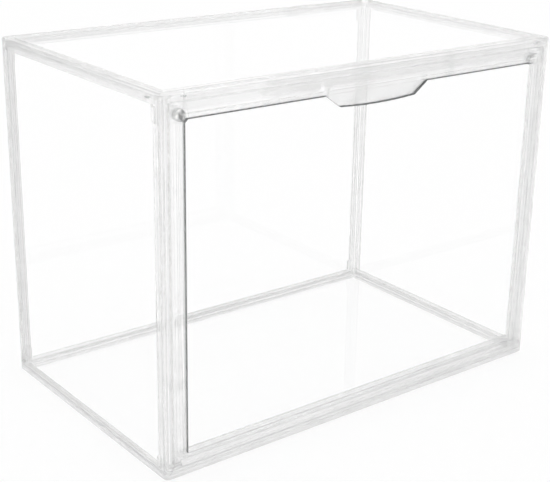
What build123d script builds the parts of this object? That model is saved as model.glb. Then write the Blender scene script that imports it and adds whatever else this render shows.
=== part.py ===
from build123d import *
import os

# Clear display case with a drop-down front door. Lengths are in millimetres.
# +X runs to the right as one faces the door, +Y to the rear and +Z up.
# The origin is the middle of the base.

# Whole case
case_width = 360.0
case_depth = 220.0
case_height = 270.0
corner_radius = 4.5
rim_edge_radius = 0.9

# Sheets and the gap that each one has in its groove
side_sheet_thickness = 1.5
flat_sheet_thickness = 1.2
groove_gap = 0.15
front_sheet_edge = 5.2
rear_sheet_edge = 4.2

# Rims
wall = 2.0
fin_wall = 2.0
fin_reach = 5.5
flange_thickness = 2.6
seat_ledge = 2.2
bottom_skirt = 6.6
top_skirt = 8.3
front_skirt = 6.6

# Posts
post_width = 6.6
post_depth = 9.2
rear_post_size = 8.2

# Stop lip that the closed door lies against
stop_lip_wall = 1.6
stop_lip_inset = 11.3
stop_lip_rise = 16.6
stop_lip_drop = 13.5

# Clearances
bond_gap = 0.1
seam_gap = 0.1
door_gap = 0.3
running_gap = 0.05

# Door frame
door_set_back = 0.3
door_thickness = 4.9
door_side_rail = 12.2
door_top_rail = 12.0
door_bottom_rail = 8.1
door_edge_radius = 0.4
window_radius = 1.0
wall_draft = 8.0

# Step in the front of the door frame
step_side = 4.8
step_top = 5.2
step_bottom = 5.8
step_drop = 0.8
step_radius = 1.5

# Door sheet in the back of the door frame
door_sheet_thickness = 1.2
door_sheet_lap = 3.2

# Finger pull that hangs from the door's top rail
pull_top_half = 45.0
pull_shoulder_half = 46.8
pull_low_half = 35.0
pull_rise = 8.6
pull_drop = 8.6
pull_bow = 1.5
pull_corner = 1.6
pull_wall = 3.3
pull_top_rim = 1.9
pull_side_rim = 3.0
pull_dish_depth = 0.9
pull_dish_slope = 55.0

# Magnets in the door, and the keeper discs behind them
magnet_radius = 4.0
magnet_thickness = 2.8
magnet_inset = 8.8
boss_wall = 1.4
keeper_thickness = 2.0
ear_depth = 3.2

# Hinge pins
pin_radius = 1.5
pin_in_door = 6.5

# Snap hooks that lock the rims to the posts
hook_set_in = 0.3
hook_bite = 1.9
hook_stem = 2.1
hook_neck = 1.4
hook_top_nose = 10.3
hook_bottom_nose = 8.5
hook_lead = 1.6
hook_gap = 0.2

# Release slots in the top rim's skirt
slot_length = 3.6
slot_height = 1.1
slot_radius = 0.5
side_slot_place = 16.0
side_slot_drop = 5.0
front_slot_place = 17.5
front_slot_drop = 3.3

# How far a cut runs past the material
overrun = 1.0

# Faces and levels of the case
left = -case_width / 2
right = case_width / 2
front = -case_depth / 2
rear = case_depth / 2
top_flange = case_height - flange_thickness
top_skirt_edge = case_height - top_skirt
front_skirt_edge = case_height - front_skirt

# Insets from the outer faces
groove_width = side_sheet_thickness + 2 * groove_gap
fin_start = wall + groove_width
fin_end = fin_start + fin_wall

# Faces and levels of the door
door_face = front + door_set_back
door_back = door_face + door_thickness
door_half = case_width / 2 - post_width - door_gap
door_low = bottom_skirt + door_gap
door_high = front_skirt_edge - door_gap
window_half = door_half - door_side_rail
window_low = door_low + door_bottom_rail
window_high = door_high - door_top_rail
stop_face = door_back + door_gap
stop_back = stop_face + stop_lip_wall

# Centres of the hinge, the magnets and the keepers
hinge_y = door_face + door_thickness / 2
hinge_z = door_low + door_thickness / 2
magnet_x = -door_half + magnet_inset
magnet_z = door_high - magnet_inset
boss_radius = magnet_radius + bond_gap + boss_wall


def block(low, high):
    # Solid box between two opposite corners
    sizes = [end - start for start, end in zip(low, high)]
    return Pos(*low) * Box(*sizes, align=(Align.MIN, Align.MIN, Align.MIN))


def rod(radius, start, end):
    # Round bar from one point to another
    along = Vector(*end) - Vector(*start)
    return extrude(Plane(origin=start, z_dir=along) * Circle(radius), along.length)


def from_front(outline, y_start, y_end, taper=0):
    # An outline seen from behind, carried from a front plane to a rear one
    place = Plane(origin=(0, y_start, 0), x_dir=(-1, 0, 0), z_dir=(0, 1, 0))
    return extrude(place * outline, y_end - y_start, taper=taper)


def rounded_panel(half, low, high, radius, y_start, y_end, taper=0):
    # Upright plate with rounded corners, centred on the case
    outline = Pos(0, (low + high) / 2) * RectangleRounded(2 * half, high - low, radius)
    return from_front(outline, y_start, y_end, taper=taper)


def both_sides(piece):
    # A piece on the left and its mirror image on the right
    return piece + mirror(piece, about=Plane.YZ)


def plan(inset):
    # Outline of the case from above, drawn in by an inset
    width = case_width - 2 * inset
    depth = case_depth - 2 * inset
    if inset < corner_radius:
        return RectangleRounded(width, depth, corner_radius - inset)
    return Rectangle(width, depth)


def shell(inset, low, high):
    # The case's whole plan as a solid between two heights
    return Pos(0, 0, low) * extrude(plan(inset), high - low)


def inside_rim(side_inset, front_inset, low, high):
    # Box inside a rim, as far from its rear as from its sides
    return block(
        (left + side_inset, front + front_inset, low),
        (right - side_inset, rear - side_inset, high),
    )


def sheet_seat(gap, low, high):
    # Space inside the fins and the stop lip, where a floor or top sheet lies
    return inside_rim(fin_end + gap, stop_back - front + gap, low, high)


def flange_opening(low, high):
    # Opening inside a flange, which leaves a ledge under the sheet's edge
    side_inset = fin_end + seat_ledge
    front_inset = stop_back - front + seat_ledge
    return inside_rim(side_inset, front_inset, low - overrun, high + overrun)


def rim_fins(low, high):
    # Fins that hold the side and rear sheets to the skirt, clear of the posts
    side = block(
        (left + fin_start, front + post_depth + seam_gap, low),
        (left + fin_end, rear - rear_post_size - seam_gap, high),
    )
    back = block(
        (left + rear_post_size + seam_gap, rear - fin_end, low),
        (right - rear_post_size - seam_gap, rear - fin_start, high),
    )
    return both_sides(side) + back


def front_stop(reach, low, high):
    # Lip across the front that the door closes against
    return block((-reach, stop_face, low), (reach, stop_back, high))


def hook_outline(post_edge, skirt_edge, nose, way):
    # Snap hook: a stem from the skirt and a nose that bites into a post
    inner = post_edge + hook_gap
    outer = inner + hook_stem
    bite = post_edge - hook_bite
    root = skirt_edge - way * overrun
    neck = skirt_edge + way * hook_neck
    tip = neck + way * nose
    stem = [(inner, neck), (inner, root), (outer, root), (outer, tip - way * hook_lead)]
    head = [(outer - hook_lead, tip), (bite, tip), (bite, neck)]
    return make_face(Polyline(*stem, *head, close=True))


def rim_hooks(skirt_edge, nose, way):
    # Hooks behind the front posts and beside the rear posts
    depth = wall - 2 * hook_set_in
    side_outline = hook_outline(front + post_depth, skirt_edge, nose, way)
    side = Pos(left + hook_set_in, 0, 0) * extrude(Plane.YZ * side_outline, depth)
    back_outline = hook_outline(left + rear_post_size, skirt_edge, nose, way)
    back = Pos(0, rear - hook_set_in, 0) * extrude(Plane.XZ * back_outline, depth)
    return both_sides(side + back)


def hook_notches(low, high):
    # Room for the hooks' noses in the outer walls of the left posts
    bite = hook_bite + hook_gap
    side = block(
        (left - overrun, front + post_depth - bite, low - hook_gap),
        (left + wall, front + post_depth + overrun, high + hook_gap),
    )
    back = block(
        (left + rear_post_size - bite, rear - wall, low - hook_gap),
        (left + rear_post_size + overrun, rear + overrun, high + hook_gap),
    )
    return side + back


def post_notches():
    # Notches for the hooks of the top rim and of the bottom rim
    top_neck = top_skirt_edge - hook_neck
    bottom_neck = bottom_skirt + hook_neck
    top = hook_notches(top_neck - hook_top_nose, top_neck)
    return top + hook_notches(bottom_neck, bottom_neck + hook_bottom_nose)


def bottom_rim():
    outer = shell(0, 0, bottom_skirt)
    outer = fillet(outer.edges().group_by(Axis.Z)[0], rim_edge_radius)
    rim = outer - shell(wall, flange_thickness, bottom_skirt + overrun)
    rim -= flange_opening(0, flange_thickness)
    rim += rim_fins(flange_thickness, fin_reach)
    post_lip = -left - stop_lip_inset
    rim += front_stop(post_lip - seam_gap, flange_thickness, stop_lip_rise)
    seat_depth = flat_sheet_thickness + bond_gap
    rim -= sheet_seat(0, flange_thickness - seat_depth, flange_thickness)
    return rim + rim_hooks(bottom_skirt, hook_bottom_nose, 1)


def release_slots():
    # Small slots in the top rim's skirt, beside its front corners
    depth = overrun + wall + groove_width / 2
    outline = RectangleRounded(slot_length, slot_height, slot_radius)
    side_z = case_height - side_slot_drop
    side_start = (left - overrun, front + side_slot_place, side_z)
    side_place = Plane(origin=side_start, x_dir=(0, 1, 0), z_dir=(1, 0, 0))
    front_z = case_height - front_slot_drop
    front_start = (left + front_slot_place, front - overrun, front_z)
    front_place = Plane(origin=front_start, x_dir=(1, 0, 0), z_dir=(0, 1, 0))
    side = extrude(side_place * outline, depth)
    return both_sides(side + extrude(front_place * outline, depth))


def top_rim():
    outer = shell(0, top_skirt_edge, case_height)
    outer = fillet(outer.edges().group_by(Axis.Z)[-1], rim_edge_radius)
    rim = outer - shell(wall, top_skirt_edge - overrun, top_flange)
    rim -= block(
        (left - overrun, front - overrun, top_skirt_edge - overrun),
        (right + overrun, front + post_depth + seam_gap, front_skirt_edge),
    )
    rim -= flange_opening(top_flange, case_height)
    rim += rim_fins(case_height - fin_reach, top_flange)
    ear_reach = -magnet_x - boss_radius
    rim += front_stop(ear_reach - seam_gap, case_height - stop_lip_drop, top_flange)
    seat_depth = flat_sheet_thickness + bond_gap
    rim -= sheet_seat(0, top_flange, top_flange + seat_depth)
    return rim + rim_hooks(top_skirt_edge, hook_top_nose, -1) - release_slots()


def with_tenons(post, top_edge):
    # A post's ends lose their outer walls, so that they plug in behind the rims' skirts
    low = flange_thickness + seam_gap
    high = top_flange - seam_gap
    tenons = shell(wall + seam_gap, low, high)
    middle = shell(0, bottom_skirt + seam_gap, top_edge - seam_gap)
    return post & (tenons + middle)


def column(u_start, u_end, v_start, v_end):
    # Full-height bar at the left front corner, set in from the left and front faces
    return block((left + u_start, front + v_start, 0), (left + u_end, front + v_end, case_height))


def front_left_post():
    stop_start = stop_face - front
    stop_end = stop_back - front
    hollow = shell(wall, -overrun, case_height + overrun)
    post = column(0, post_width, 0, post_depth) - hollow
    post += column(fin_start, post_width, 0, post_depth)
    post += column(fin_start, stop_lip_inset, stop_start, stop_end)
    post = with_tenons(post, front_skirt_edge)
    ear_back = stop_face + ear_depth
    post += rod(boss_radius, (magnet_x, stop_face, magnet_z), (magnet_x, ear_back, magnet_z))
    post += block(
        (left + fin_start, stop_face, magnet_z - boss_radius),
        (magnet_x, ear_back, magnet_z + boss_radius),
    )
    pocket_start = (magnet_x, stop_face - overrun, magnet_z)
    pocket_end = (magnet_x, stop_face + keeper_thickness + bond_gap, magnet_z)
    post -= rod(magnet_radius + bond_gap, pocket_start, pocket_end)
    bore_start = (left + fin_start, hinge_y, hinge_z)
    bore_end = (left + post_width + overrun, hinge_y, hinge_z)
    post -= rod(pin_radius + running_gap, bore_start, bore_end)
    return post - post_notches()


def corner_column(u_start, u_end, v_start, v_end):
    # Full-height bar at the left rear corner, set in from the left and rear faces
    return block((left + u_start, rear - v_end, 0), (left + u_end, rear - v_start, case_height))


def rear_left_post():
    size = rear_post_size
    groove_end = rear_sheet_edge - bond_gap
    post = corner_column(0, fin_end, 0, size)
    post += corner_column(0, size, 0, fin_end)
    post -= corner_column(wall, fin_start, groove_end, size + overrun)
    post -= corner_column(groove_end, size + overrun, wall, fin_start)
    return with_tenons(post, top_skirt_edge) - post_notches()


def left_sheet():
    # Stands in the middle of the grooves
    outer = left + wall + groove_gap
    return block(
        (outer, front + front_sheet_edge, flange_thickness + 2 * seam_gap),
        (outer + side_sheet_thickness, rear - rear_sheet_edge, top_flange - 2 * seam_gap),
    )


def rear_sheet():
    outer = rear - wall - groove_gap
    return block(
        (left + rear_sheet_edge, outer - side_sheet_thickness, flange_thickness + 2 * seam_gap),
        (right - rear_sheet_edge, outer, top_flange - 2 * seam_gap),
    )


def flat_sheet(low):
    # Floor or top sheet, a bond line inside its seat
    return sheet_seat(bond_gap, low, low + flat_sheet_thickness)


def left_keeper():
    start = (magnet_x, stop_face + bond_gap / 2, magnet_z)
    end = (magnet_x, stop_face + bond_gap / 2 + keeper_thickness, magnet_z)
    return rod(magnet_radius, start, end)


def left_door_magnet():
    start = (magnet_x, door_back - bond_gap / 2 - magnet_thickness, magnet_z)
    end = (magnet_x, door_back - bond_gap / 2, magnet_z)
    return rod(magnet_radius, start, end)


def left_hinge_pin():
    # Fixed in the door, and stops short of the sheet groove in the post
    start = (left + fin_start + seam_gap, hinge_y, hinge_z)
    end = (pin_in_door - door_half, hinge_y, hinge_z)
    return rod(pin_radius, start, end)


def pull_outline(top):
    # Finger pull from the front: slanted ends and a bowed lower edge
    low = window_high - pull_drop
    right_end = [(pull_top_half, top), (pull_shoulder_half, window_high), (pull_low_half, low)]
    left_end = [(-x, z) for x, z in reversed(right_end)]
    bow = ThreePointArc(right_end[-1], (0, low - pull_bow), left_end[0])
    sides = Polyline(*left_end, *right_end)
    return make_face(bow + sides)


def finger_pull():
    # Plate with drafted edges, flush with the front of the case and a little proud of the door
    outline = pull_outline(window_high + pull_rise)
    outline = fillet(outline.vertices(), pull_corner)
    return from_front(outline, front, door_face + pull_wall, taper=wall_draft)


def finger_dish():
    # Shallow hollow in the pull, with sloping sides
    outline = pull_outline(window_high + pull_rise - pull_top_rim + pull_side_rim)
    outline = offset(outline, -pull_side_rim, kind=Kind.INTERSECTION)
    outline = fillet(outline.vertices(), pull_corner)
    return from_front(outline, front, front + pull_dish_depth, taper=pull_dish_slope)


def door_slab():
    # Outside of the door, rounded along its bottom about the hinge line
    slab = block((-door_half, door_face, hinge_z), (door_half, door_back, door_high))
    face_edges = slab.edges().group_by(Axis.Y)[0]
    slab = fillet(face_edges.sort_by(Axis.Z)[1:], door_edge_radius)
    start = (-door_half, hinge_y, hinge_z)
    return slab + rod(door_thickness / 2, start, (door_half, hinge_y, hinge_z))


def sheet_panel(gap, start):
    # The door sheet's extent in its rebate, from a front plane to the door's back
    half = window_half + door_sheet_lap + gap
    low = window_low - door_sheet_lap - gap
    high = window_high + door_sheet_lap + gap
    return block((-half, start, low), (half, door_back, high))


def door_frame():
    step_low = door_low + step_bottom
    step_high = door_high - step_top
    step_start = door_face - overrun
    step_end = door_face + step_drop
    window_end = door_back + overrun
    frame = door_slab()
    frame -= rounded_panel(
        door_half - step_side, step_low, step_high, step_radius, step_start, step_end
    )
    window = (window_half, window_low, window_high, window_radius)
    frame -= rounded_panel(*window, door_face, window_end, taper=-wall_draft)
    frame -= sheet_panel(bond_gap, door_back - door_sheet_thickness - bond_gap)
    boss_start = (magnet_x, door_face, magnet_z)
    frame += both_sides(rod(boss_radius, boss_start, (magnet_x, door_back, magnet_z)))
    frame += finger_pull()
    frame -= finger_dish()
    pocket_start = (magnet_x, door_back - magnet_thickness - bond_gap, magnet_z)
    pocket_end = (magnet_x, door_back + overrun, magnet_z)
    frame -= both_sides(rod(magnet_radius + bond_gap, pocket_start, pocket_end))
    bore_start = (-door_half - overrun, hinge_y, hinge_z)
    bore_end = (-door_half + pin_in_door + bond_gap, hinge_y, hinge_z)
    return frame - both_sides(rod(pin_radius + running_gap, bore_start, bore_end))


def door_sheet():
    # Clear of the magnet bosses at its top corners
    sheet = sheet_panel(0, door_back - door_sheet_thickness)
    start = (magnet_x, door_back - door_sheet_thickness - overrun, magnet_z)
    end = (magnet_x, door_back + overrun, magnet_z)
    return sheet - both_sides(rod(boss_radius + bond_gap, start, end))


nodes = {
    "bottom_rim": bottom_rim(),
    "top_rim": top_rim(),
    "floor_sheet": flat_sheet(flange_thickness - flat_sheet_thickness - bond_gap / 2),
    "top_sheet": flat_sheet(top_flange + bond_gap / 2),
    "rear_sheet": rear_sheet(),
    "door_frame": door_frame(),
    "door_sheet": door_sheet(),
}

left_nodes = {
    "front_left_post": front_left_post(),
    "rear_left_post": rear_left_post(),
    "left_sheet": left_sheet(),
    "left_keeper": left_keeper(),
    "left_door_magnet": left_door_magnet(),
    "left_hinge_pin": left_hinge_pin(),
}

# The right side is the left side's mirror image
for name, piece in left_nodes.items():
    nodes[name] = piece
    nodes[name.replace("left", "right")] = mirror(piece, about=Plane.YZ)

os.makedirs("parts", exist_ok=True)
for name, piece in nodes.items():
    export_step(piece, f"parts/{name}.step")
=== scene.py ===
import bpy
import bmesh
from math import radians
from mathutils import Matrix, Vector


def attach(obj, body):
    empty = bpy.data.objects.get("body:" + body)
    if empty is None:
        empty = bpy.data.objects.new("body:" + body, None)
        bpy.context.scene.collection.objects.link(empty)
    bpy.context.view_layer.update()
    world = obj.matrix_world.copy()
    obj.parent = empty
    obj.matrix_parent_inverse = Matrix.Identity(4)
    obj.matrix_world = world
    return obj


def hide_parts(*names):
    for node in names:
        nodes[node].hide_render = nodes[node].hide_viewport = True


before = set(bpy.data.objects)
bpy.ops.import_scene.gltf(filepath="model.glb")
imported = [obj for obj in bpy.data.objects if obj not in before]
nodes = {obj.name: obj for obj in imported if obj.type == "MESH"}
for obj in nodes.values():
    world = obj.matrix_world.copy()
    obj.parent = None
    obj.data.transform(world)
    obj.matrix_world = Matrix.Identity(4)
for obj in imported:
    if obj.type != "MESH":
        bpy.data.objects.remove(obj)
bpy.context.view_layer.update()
mm = 0.001
print("frame loaded")


# small helpers
def fromHex(code):
    # sRGB hex to the linear colour that a socket takes
    channels = [int(code[i:i + 2], 16) / 255 for i in (1, 3, 5)]
    linear = [c / 12.92 if c <= 0.04045 else ((c + 0.055) / 1.055) ** 2.4 for c in channels]
    return (*linear, 1.0)


def addNode(tree, kind, settings=None, inputs=None, links=None):
    # one node with its settings, socket values and incoming links
    node = tree.nodes.new(kind)
    for key, value in (settings or {}).items():
        setattr(node, key, value)
    for key, value in (inputs or {}).items():
        node.inputs[key].default_value = value
    for key, source in (links or {}).items():
        tree.links.new(source, node.inputs[key])
    return node


def newMaterial(name):
    material = bpy.data.materials.new(name)
    material.use_nodes = True
    material.node_tree.nodes.clear()
    return material, material.node_tree


def newPiece(name, bm, looks):
    # a finished piece keeps its place in its mesh and its object at the origin
    mesh = bpy.data.meshes.new(name)
    bm.to_mesh(mesh)
    bm.free()
    for look in looks:
        mesh.materials.append(look)
    piece = bpy.data.objects.new(name, mesh)
    bpy.context.scene.collection.objects.link(piece)
    return piece


# clear polystyrene from an injection mould: glass-like with high gloss, a slow wave and a
# fine ripple in its skin and a trace of handling haze; a share of the light goes straight
# through, as its thin walls bend what lies behind them only a little
styrene = {"tint": "#FDFDFD", "ior": 1.59, "straightShare": 0.55,
           "paintedShadeTint": "#F5F5F5", "paintedShadeSide": (-0.7, 1.3, 0),
           "paintedShadeFrom": -60 * mm, "paintedShadeTo": 270 * mm,
           "contactShadeTint": "#F6F6F6", "contactShadeHeight": 7 * mm,
           "wave": 9 * mm, "waveDepth": 0.002 * mm,
           "ripple": 1.2 * mm, "rippleDepth": 0.0003 * mm, "skinDetail": 1.0,
           "hazePatch": 14 * mm, "hazeDetail": 3.0, "hazeFrom": 0.3, "hazeTo": 0.7,
           "hazeLeast": 0.05, "hazeMost": 0.09}


def mouldedStyrene():
    material, tree = newMaterial("clearMouldedStyrene")
    coord = addNode(tree, "ShaderNodeTexCoord")
    wave = addNode(tree, "ShaderNodeTexNoise",
                   inputs={"Scale": 1 / styrene["wave"], "Detail": styrene["skinDetail"]},
                   links={"Vector": coord.outputs["Object"]})
    waved = addNode(tree, "ShaderNodeBump", inputs={"Distance": styrene["waveDepth"]},
                    links={"Height": wave.outputs["Fac"]})
    ripple = addNode(tree, "ShaderNodeTexNoise",
                     inputs={"Scale": 1 / styrene["ripple"], "Detail": styrene["skinDetail"]},
                     links={"Vector": coord.outputs["Object"]})
    rippled = addNode(tree, "ShaderNodeBump", inputs={"Distance": styrene["rippleDepth"]},
                      links={"Height": ripple.outputs["Fac"],
                             "Normal": waved.outputs["Normal"]})
    patch = addNode(tree, "ShaderNodeTexNoise",
                    inputs={"Scale": 1 / styrene["hazePatch"], "Detail": styrene["hazeDetail"]},
                    links={"Vector": coord.outputs["Object"]})
    haze = addNode(tree, "ShaderNodeMapRange",
                   inputs={"From Min": styrene["hazeFrom"], "From Max": styrene["hazeTo"],
                           "To Min": styrene["hazeLeast"], "To Max": styrene["hazeMost"]},
                   links={"Value": patch.outputs["Fac"]})
    # painted shade: a touch greyer towards the rear left corner, standing in for the shade there
    place = addNode(tree, "ShaderNodeVectorMath", {"operation": "DOT_PRODUCT"},
                    inputs={1: styrene["paintedShadeSide"]}, links={0: coord.outputs["Object"]})
    near = addNode(tree, "ShaderNodeMapRange",
                   inputs={"From Min": styrene["paintedShadeFrom"], "From Max": styrene["paintedShadeTo"]},
                   links={"Value": place.outputs["Value"]})
    body = addNode(tree, "ShaderNodeMix", {"data_type": "RGBA"},
                   inputs={"A": fromHex(styrene["tint"]), "B": fromHex(styrene["paintedShadeTint"])},
                   links={"Factor": near.outputs["Result"]})
    # painted shade: darker towards the foot, standing in for the contact shadow where the rims
    # meet the floor
    height = addNode(tree, "ShaderNodeSeparateXYZ", links={0: coord.outputs["Object"]})
    contactShade = addNode(tree, "ShaderNodeMapRange",
                   inputs={"From Max": styrene["contactShadeHeight"], "To Min": 1.0, "To Max": 0.0},
                   links={"Value": height.outputs["Z"]})
    tint = addNode(tree, "ShaderNodeMix", {"data_type": "RGBA"},
                   inputs={"B": fromHex(styrene["contactShadeTint"])},
                   links={"Factor": contactShade.outputs["Result"], "A": body.outputs["Result"]})
    bent = addNode(tree, "ShaderNodeBsdfPrincipled",
                   inputs={"IOR": styrene["ior"], "Transmission Weight": 1.0},
                   links={"Base Color": tint.outputs["Result"],
                          "Roughness": haze.outputs["Result"],
                          "Normal": rippled.outputs["Normal"]})
    straight = addNode(tree, "ShaderNodeBsdfTransparent",
                       links={"Color": tint.outputs["Result"]})
    mix = addNode(tree, "ShaderNodeMixShader", inputs={0: styrene["straightShare"]},
                  links={1: bent.outputs["BSDF"], 2: straight.outputs["BSDF"]})
    addNode(tree, "ShaderNodeOutputMaterial", links={"Surface": mix.outputs["Shader"]})
    return material


# painted shade: the same plastic on the walls of the door's opening and pull, slightly hazy,
# with its mirror tinted dark, so it mirrors little light inside the rail and the opening gets a
# thin painted dark outline, which is darker on the upper walls and the pull than down the sides
paintedShadeOutline = {"topShadeMirror": "#727474", "sideShadeMirror": "#949696", "hazeLeast": 0.06,
           "hazeMost": 0.12, "grain": 2.5 * mm, "grainDetail": 2.0}


def paintedShadeOutlineEdge(name, shadeMirrorColour):
    material, tree = newMaterial(name)
    coord = addNode(tree, "ShaderNodeTexCoord")
    grain = addNode(tree, "ShaderNodeTexNoise",
                    inputs={"Scale": 1 / paintedShadeOutline["grain"], "Detail": paintedShadeOutline["grainDetail"]},
                    links={"Vector": coord.outputs["Object"]})
    haze = addNode(tree, "ShaderNodeMapRange",
                   inputs={"To Min": paintedShadeOutline["hazeLeast"], "To Max": paintedShadeOutline["hazeMost"]},
                   links={"Value": grain.outputs["Fac"]})
    refract = addNode(tree, "ShaderNodeBsdfRefraction",
                      inputs={"Color": fromHex(styrene["tint"]), "IOR": styrene["ior"]},
                      links={"Roughness": haze.outputs["Result"]})
    mirror = addNode(tree, "ShaderNodeBsdfGlossy", inputs={"Color": fromHex(shadeMirrorColour)},
                     links={"Roughness": haze.outputs["Result"]})
    fresnel = addNode(tree, "ShaderNodeFresnel", inputs={"IOR": styrene["ior"]})
    mix = addNode(tree, "ShaderNodeMixShader",
                  links={0: fresnel.outputs["Fac"], 1: refract.outputs["BSDF"],
                         2: mirror.outputs["BSDF"]})
    addNode(tree, "ShaderNodeOutputMaterial", links={"Surface": mix.outputs["Shader"]})
    return material


# the same plastic where a lip was cut off or a slot was pierced: frosty, nearly white
frosted = {"pale": "#F4F5F5", "dull": "#DADCDC", "roughness": 0.55,
           "grain": 0.6 * mm, "grainDetail": 3.0, "depth": 0.03 * mm}


def frostedCut():
    material, tree = newMaterial("frostedCutStyrene")
    coord = addNode(tree, "ShaderNodeTexCoord")
    grain = addNode(tree, "ShaderNodeTexNoise",
                    inputs={"Scale": 1 / frosted["grain"], "Detail": frosted["grainDetail"]},
                    links={"Vector": coord.outputs["Object"]})
    tint = addNode(tree, "ShaderNodeMix", {"data_type": "RGBA"},
                   inputs={"A": fromHex(frosted["pale"]), "B": fromHex(frosted["dull"])},
                   links={"Factor": grain.outputs["Fac"]})
    bump = addNode(tree, "ShaderNodeBump", inputs={"Distance": frosted["depth"]},
                   links={"Height": grain.outputs["Fac"]})
    shader = addNode(tree, "ShaderNodeBsdfPrincipled",
                     inputs={"Roughness": frosted["roughness"], "IOR": styrene["ior"]},
                     links={"Base Color": tint.outputs["Result"],
                            "Normal": bump.outputs["Normal"]})
    addNode(tree, "ShaderNodeOutputMaterial", links={"Surface": shader.outputs["BSDF"]})
    return material


# extruded acrylic sheet: so clear and thin that only its mirror gloss shows, with faint
# upright wipe marks in the gloss
acrylic = {"tint": "#FFFFFF", "gloss": "#FFFFFF", "sheen": 5.0, "facing": 0.025,
           "grazing": 0.6, "wipe": 20 * mm, "wipeStretch": 6.0, "wipeDetail": 3.0,
           "wipeFrom": 0.35, "wipeTo": 0.7, "hazeLeast": 0.01, "hazeMost": 0.05}


def acrylicSheet():
    material, tree = newMaterial("extrudedAcrylicSheet")
    coord = addNode(tree, "ShaderNodeTexCoord")
    upright = addNode(tree, "ShaderNodeMapping",
                      inputs={"Scale": (1, 1, 1 / acrylic["wipeStretch"])},
                      links={"Vector": coord.outputs["Object"]})
    wipe = addNode(tree, "ShaderNodeTexNoise",
                   inputs={"Scale": 1 / acrylic["wipe"], "Detail": acrylic["wipeDetail"]},
                   links={"Vector": upright.outputs["Vector"]})
    haze = addNode(tree, "ShaderNodeMapRange",
                   inputs={"From Min": acrylic["wipeFrom"], "From Max": acrylic["wipeTo"],
                           "To Min": acrylic["hazeLeast"], "To Max": acrylic["hazeMost"]},
                   links={"Value": wipe.outputs["Fac"]})
    through = addNode(tree, "ShaderNodeBsdfTransparent",
                      inputs={"Color": fromHex(acrylic["tint"])})
    gloss = addNode(tree, "ShaderNodeBsdfGlossy", inputs={"Color": fromHex(acrylic["gloss"])},
                    links={"Roughness": haze.outputs["Result"]})
    # the gloss grows towards a grazing look along the sheet
    weight = addNode(tree, "ShaderNodeLayerWeight")
    power = addNode(tree, "ShaderNodeMath", {"operation": "POWER"},
                    inputs={1: acrylic["sheen"]}, links={0: weight.outputs["Facing"]})
    share = addNode(tree, "ShaderNodeMapRange",
                    inputs={"To Min": acrylic["facing"], "To Max": acrylic["grazing"]},
                    links={"Value": power.outputs["Value"]})
    mix = addNode(tree, "ShaderNodeMixShader",
                  links={0: share.outputs["Result"], 1: through.outputs["BSDF"],
                         2: gloss.outputs["BSDF"]})
    addNode(tree, "ShaderNodeOutputMaterial", links={"Surface": mix.outputs["Shader"]})
    return material


# nickel plate on the magnets: a pale mirror with dull patches, a painted reflection placed so
# the left magnet shows a dark half and the right one pale glints
nickel = {"bright": "#FFFFFE", "dull": "#929393", "patch": 5.0 * mm, "patchShift": 14 * mm,
          "smooth": 0.12, "rough": 0.3, "pit": 0.25 * mm, "pitDepth": 0.006 * mm}
# zinc plate on the keepers: cooler and greyer, with the crystals of the plating bath
zinc = {"bright": "#D6D9DC", "dull": "#A4A7AA", "patch": 1.4 * mm, "patchShift": 0,
        "smooth": 0.3, "rough": 0.5, "pit": 0.2 * mm, "pitDepth": 0.008 * mm}
# how the patches of both break up: the nickel's painted reflection and the zinc's crystals
patches = {"detail": 3.0, "distortion": 0.6, "from": 0.45, "to": 0.6}


def plated(name, plate):
    material, tree = newMaterial(name)
    coord = addNode(tree, "ShaderNodeTexCoord")
    # the shift places the nickel's patches as a painted reflection; the zinc's stay where they
    # are
    moved = addNode(tree, "ShaderNodeMapping",
                    inputs={"Location": (0, 0, plate["patchShift"])},
                    links={"Vector": coord.outputs["Object"]})
    patch = addNode(tree, "ShaderNodeTexNoise",
                    inputs={"Scale": 1 / plate["patch"], "Detail": patches["detail"],
                            "Distortion": patches["distortion"]},
                    links={"Vector": moved.outputs["Vector"]})
    patchesAndPaintedReflection = addNode(tree, "ShaderNodeMapRange",
                     inputs={"From Min": patches["from"], "From Max": patches["to"]},
                     links={"Value": patch.outputs["Fac"]})
    tint = addNode(tree, "ShaderNodeMix", {"data_type": "RGBA"},
                   inputs={"A": fromHex(plate["bright"]), "B": fromHex(plate["dull"])},
                   links={"Factor": patchesAndPaintedReflection.outputs["Result"]})
    polish = addNode(tree, "ShaderNodeMapRange",
                     inputs={"To Min": plate["smooth"], "To Max": plate["rough"]},
                     links={"Value": patchesAndPaintedReflection.outputs["Result"]})
    pits = addNode(tree, "ShaderNodeTexVoronoi", inputs={"Scale": 1 / plate["pit"]},
                   links={"Vector": coord.outputs["Object"]})
    bump = addNode(tree, "ShaderNodeBump", inputs={"Distance": plate["pitDepth"]},
                   links={"Height": pits.outputs["Distance"]})
    shader = addNode(tree, "ShaderNodeBsdfPrincipled", inputs={"Metallic": 1.0},
                     links={"Base Color": tint.outputs["Result"],
                            "Roughness": polish.outputs["Result"],
                            "Normal": bump.outputs["Normal"]})
    addNode(tree, "ShaderNodeOutputMaterial", links={"Surface": shader.outputs["BSDF"]})
    return material


clearStyrene = mouldedStyrene()
# two copies of the painted dark outline: a darker one for the upper walls, a lighter one for the
# sides
topShadeOutlineStyrene = paintedShadeOutlineEdge("paintedShadeOutlineTopStyrene", paintedShadeOutline["topShadeMirror"])
sideShadeOutlineStyrene = paintedShadeOutlineEdge("paintedShadeOutlineSideStyrene", paintedShadeOutline["sideShadeMirror"])
cutStyrene = frostedCut()
clearSheet = acrylicSheet()
nickelPlate = plated("nickelPlate", nickel)
zincPlate = plated("zincPlate", zinc)
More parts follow.
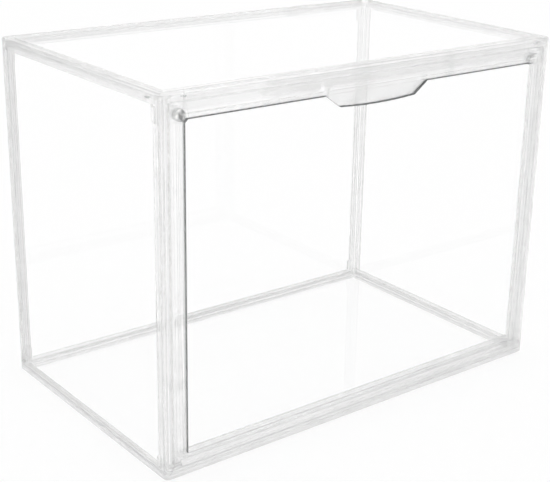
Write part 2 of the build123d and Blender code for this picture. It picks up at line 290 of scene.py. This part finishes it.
# a CAD node's look goes by the last word of its name, and the rest are clear mouldings
nodeLooks = {"sheet": clearSheet, "magnet": nickelPlate, "keeper": zincPlate}
for nodeName, node in nodes.items():
    node.data.materials.clear()
    node.data.materials.append(nodeLooks.get(nodeName.split("_")[-1], clearStyrene))
print("materials ready")

# what all the eased pieces share: the merging of the CAD mesh's corners, the angle up to
# which faces shade as one, and how much a large face counts in that
shading = {"weld": 0.002 * mm, "smoothTo": 50, "largeFace": 100}


def eased(nodeName, body, edges, looks, mark=None, crisp=None):
    # the CAD shape with its sharp edges rounded, in place of its node
    bm = bmesh.new()
    bm.from_mesh(nodes[nodeName].data)
    bmesh.ops.remove_doubles(bm, verts=bm.verts, dist=shading["weld"])
    sharp = [edge for edge in bm.edges
             if edge.is_convex and edge.calc_face_angle() > radians(edges["sharpFrom"])
             and not (crisp and all(crisp(vert.co) for vert in edge.verts))]
    bmesh.ops.bevel(bm, geom=sharp, offset=edges["ease"], segments=edges["segments"],
                    profile=0.5, affect="EDGES", material=-1)
    if mark:
        mark(bm)
    words = nodeName.split("_")
    piece = newPiece(words[0] + "".join(word.capitalize() for word in words[1:]), bm, looks)
    piece.data.shade_smooth()
    piece.data.set_sharp_from_angle(angle=radians(shading["smoothTo"]))
    even = piece.modifiers.new("flatFacesStayFlat", "WEIGHTED_NORMAL")
    even.weight = shading["largeFace"]
    even.keep_sharp = True
    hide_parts(nodeName)
    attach(piece, body)


# moulded pieces: the small rounding that a mould leaves on edges
mouldings = {"ease": 0.12 * mm, "segments": 2, "sharpFrom": 40}
# the door's round hinge ends, which keep their crisp rims
hingeEnds = {"from": 172.9 * mm, "top": 11.5 * mm}
# the door's opening and pull, whose walls get the painted dark outline
opening = {"half": 160.9 * mm, "low": 15.0 * mm, "high": 251.1 * mm, "reach": 0.8 * mm,
           "pullHalf": 48.0 * mm, "pullFrom": 200 * mm, "wallTurn": 0.5}
# the stop lips' cut ends, and the release slots in the top rim's sides and front
cuts = {"lipEnds": {"top_rim": 158.7 * mm, "bottom_rim": 168.6 * mm},
        "reach": 0.3 * mm, "endTurn": 0.9,
        "sideSlot": (-94.0 * mm, 265.0 * mm), "sideDepth": 177.0 * mm,
        "frontSlot": (162.5 * mm, 266.7 * mm), "frontDepth": -107.0 * mm,
        "slotHalf": (2.0 * mm, 0.7 * mm), "wallTurn": 0.5}


def onHingeRim(point):
    return abs(point.x) > hingeEnds["from"] and point.z < hingeEnds["top"]


def markOpening(bm):
    for face in bm.faces:
        at = face.calc_center_median()
        inHeight = opening["low"] < at.z < opening["high"]
        side = inHeight and abs(abs(at.x) - opening["half"]) < opening["reach"]
        top = abs(at.x) < opening["half"] and abs(at.z - opening["high"]) < opening["reach"]
        pull = (opening["pullFrom"] < at.z < opening["high"]
                and abs(at.x) < opening["pullHalf"])
        if abs(face.normal.y) < opening["wallTurn"] and (side or top or pull):
            face.material_index = 2 if side and not pull else 1


def markCuts(lipEnd):
    def mark(bm):
        sideY, sideZ = cuts["sideSlot"]
        frontX, frontZ = cuts["frontSlot"]
        halfLength, halfHeight = cuts["slotHalf"]
        for face in bm.faces:
            at, turn = face.calc_center_median(), face.normal
            end = abs(turn.x) > cuts["endTurn"] and abs(abs(at.x) - lipEnd) < cuts["reach"]
            side = (abs(at.y - sideY) < halfLength and abs(at.z - sideZ) < halfHeight
                    and abs(at.x) > cuts["sideDepth"] and abs(turn.x) < cuts["wallTurn"])
            front = (abs(abs(at.x) - frontX) < halfLength and abs(at.z - frontZ) < halfHeight
                     and at.y < cuts["frontDepth"] and abs(turn.y) < cuts["wallTurn"])
            if end or side or front:
                face.material_index = 1
    return mark


for rimName, lipEnd in cuts["lipEnds"].items():
    eased(rimName, "case", mouldings, [clearStyrene, cutStyrene],
          mark=markCuts(lipEnd))
for postName in ("front_left_post", "front_right_post", "rear_left_post", "rear_right_post"):
    eased(postName, "case", mouldings, [clearStyrene])
eased("door_frame", "door", mouldings, [clearStyrene, topShadeOutlineStyrene, sideShadeOutlineStyrene],
      mark=markOpening, crisp=onHingeRim)
print("moulded pieces eased")

# hinge pins: clear rod with domed ends
pins = {"ease": 0.5 * mm, "segments": 4, "sharpFrom": 60}
# magnets and keepers: discs with a broken edge
discs = {"ease": 0.3 * mm, "segments": 3, "sharpFrom": 60}
for side in ("left", "right"):
    eased(side + "_hinge_pin", "door", pins, [clearStyrene])
    eased(side + "_door_magnet", "door", discs, [nickelPlate])
    eased(side + "_keeper", "case", discs, [zincPlate])
print("pins, magnets and keepers eased")

# studio: white paper floor and white walls all round light the case softly and evenly,
# under a ceiling that looks slightly dimmer in the plastic
studio = {"walls": "#FFFFFF", "ambient": 1.0, "backdrop": 1.0,
          "ceiling": 0.92, "ceilingFrom": 0.3, "ceilingTo": 0.75,
          "floorTint": "#FCFCFC", "floorGlow": 0.85, "floorDrop": 0.4 * mm,
          "floorRadius": 30.0, "floorSides": 64, "grain": 0.8 * mm, "grainDepth": 0.02 * mm}


def paperFloor():
    # matt paper that keeps the case's faint shadow, and shows white to the camera and in
    # the plastic
    material, tree = newMaterial("paperFloor")
    coord = addNode(tree, "ShaderNodeTexCoord")
    grain = addNode(tree, "ShaderNodeTexNoise", inputs={"Scale": 1 / studio["grain"]},
                    links={"Vector": coord.outputs["Object"]})
    bump = addNode(tree, "ShaderNodeBump", inputs={"Distance": studio["grainDepth"]},
                   links={"Height": grain.outputs["Fac"]})
    path = addNode(tree, "ShaderNodeLightPath")
    seen = addNode(tree, "ShaderNodeMath", {"operation": "SUBTRACT"}, inputs={0: 1.0},
                   links={1: path.outputs["Is Diffuse Ray"]})
    share = addNode(tree, "ShaderNodeMath", {"operation": "MULTIPLY"},
                    inputs={1: studio["floorGlow"]}, links={0: seen.outputs["Value"]})
    matte = addNode(tree, "ShaderNodeBsdfDiffuse",
                    inputs={"Color": fromHex(studio["floorTint"])},
                    links={"Normal": bump.outputs["Normal"]})
    glow = addNode(tree, "ShaderNodeEmission", inputs={"Color": fromHex(studio["walls"])})
    mix = addNode(tree, "ShaderNodeMixShader",
                  links={0: share.outputs["Value"], 1: matte.outputs["BSDF"],
                         2: glow.outputs["Emission"]})
    addNode(tree, "ShaderNodeOutputMaterial", links={"Surface": mix.outputs["Shader"]})
    return material


def studioWorld():
    # one even white, but glossy and transmitted rays see the dimmer ceiling
    world = bpy.data.worlds.new("studio")
    world.use_nodes = True
    tree = world.node_tree
    tree.nodes.clear()
    path = addNode(tree, "ShaderNodeLightPath")
    coord = addNode(tree, "ShaderNodeTexCoord")
    height = addNode(tree, "ShaderNodeSeparateXYZ", links={0: coord.outputs["Generated"]})
    ceiling = addNode(tree, "ShaderNodeMapRange",
                      inputs={"From Min": studio["ceilingFrom"], "From Max": studio["ceilingTo"],
                              "To Min": 1.0, "To Max": studio["ceiling"]},
                      links={"Value": height.outputs["Z"]})
    clearRay = addNode(tree, "ShaderNodeMath", {"operation": "MAXIMUM"},
                       links={0: path.outputs["Is Glossy Ray"],
                              1: path.outputs["Is Transmission Ray"]})
    lit = addNode(tree, "ShaderNodeMix", inputs={"A": studio["ambient"]},
                  links={"Factor": clearRay.outputs["Value"], "B": ceiling.outputs["Result"]})
    level = addNode(tree, "ShaderNodeMix", inputs={"B": studio["backdrop"]},
                    links={"Factor": path.outputs["Is Camera Ray"],
                           "A": lit.outputs["Result"]})
    background = addNode(tree, "ShaderNodeBackground",
                         inputs={"Color": fromHex(studio["walls"])},
                         links={"Strength": level.outputs["Result"]})
    addNode(tree, "ShaderNodeOutputWorld", links={"Surface": background.outputs["Background"]})
    return world


bm = bmesh.new()
bmesh.ops.create_circle(bm, cap_ends=True, radius=studio["floorRadius"],
                        segments=studio["floorSides"])
bmesh.ops.translate(bm, verts=bm.verts, vec=(0, 0, -studio["floorDrop"]))
floor = newPiece("studioFloor", bm, [paperFloor()])
scene = bpy.context.scene
scene.world = studioWorld()
print("studio ready")

# camera at the photo's angle: the width, focal length and centre column are in pixels
view = {"eye": (-0.5672, -0.7275, 0.4414), "forward": (0.594, 0.728, -0.3425),
        "right": (0.7802, -0.6251, 0.0244), "width": 550, "focal": 1216.5, "column": 305}
camera = bpy.data.objects.new("camera", bpy.data.cameras.new("camera"))
scene.collection.objects.link(camera)
forward = Vector(view["forward"]).normalized()
right = Vector(view["right"]).normalized()
up = right.cross(forward)
turned = Matrix((right, up, -forward)).transposed().to_4x4()
camera.matrix_world = Matrix.Translation(view["eye"]) @ turned
camera.data.lens = view["focal"] * camera.data.sensor_width / view["width"]
camera.data.shift_x = (view["width"] / 2 - view["column"]) / view["width"]
scene.camera = camera
print("camera ready")

# light runs a long way along the clear rails before it leaves them
bounces = {"inRails": 256, "straightThrough": 64}
scene.view_settings.view_transform = "Standard"
scene.cycles.max_bounces = bounces["inRails"]
scene.cycles.transmission_bounces = bounces["inRails"]
scene.cycles.glossy_bounces = bounces["inRails"]
scene.cycles.transparent_max_bounces = bounces["straightThrough"]
print("render settings ready")
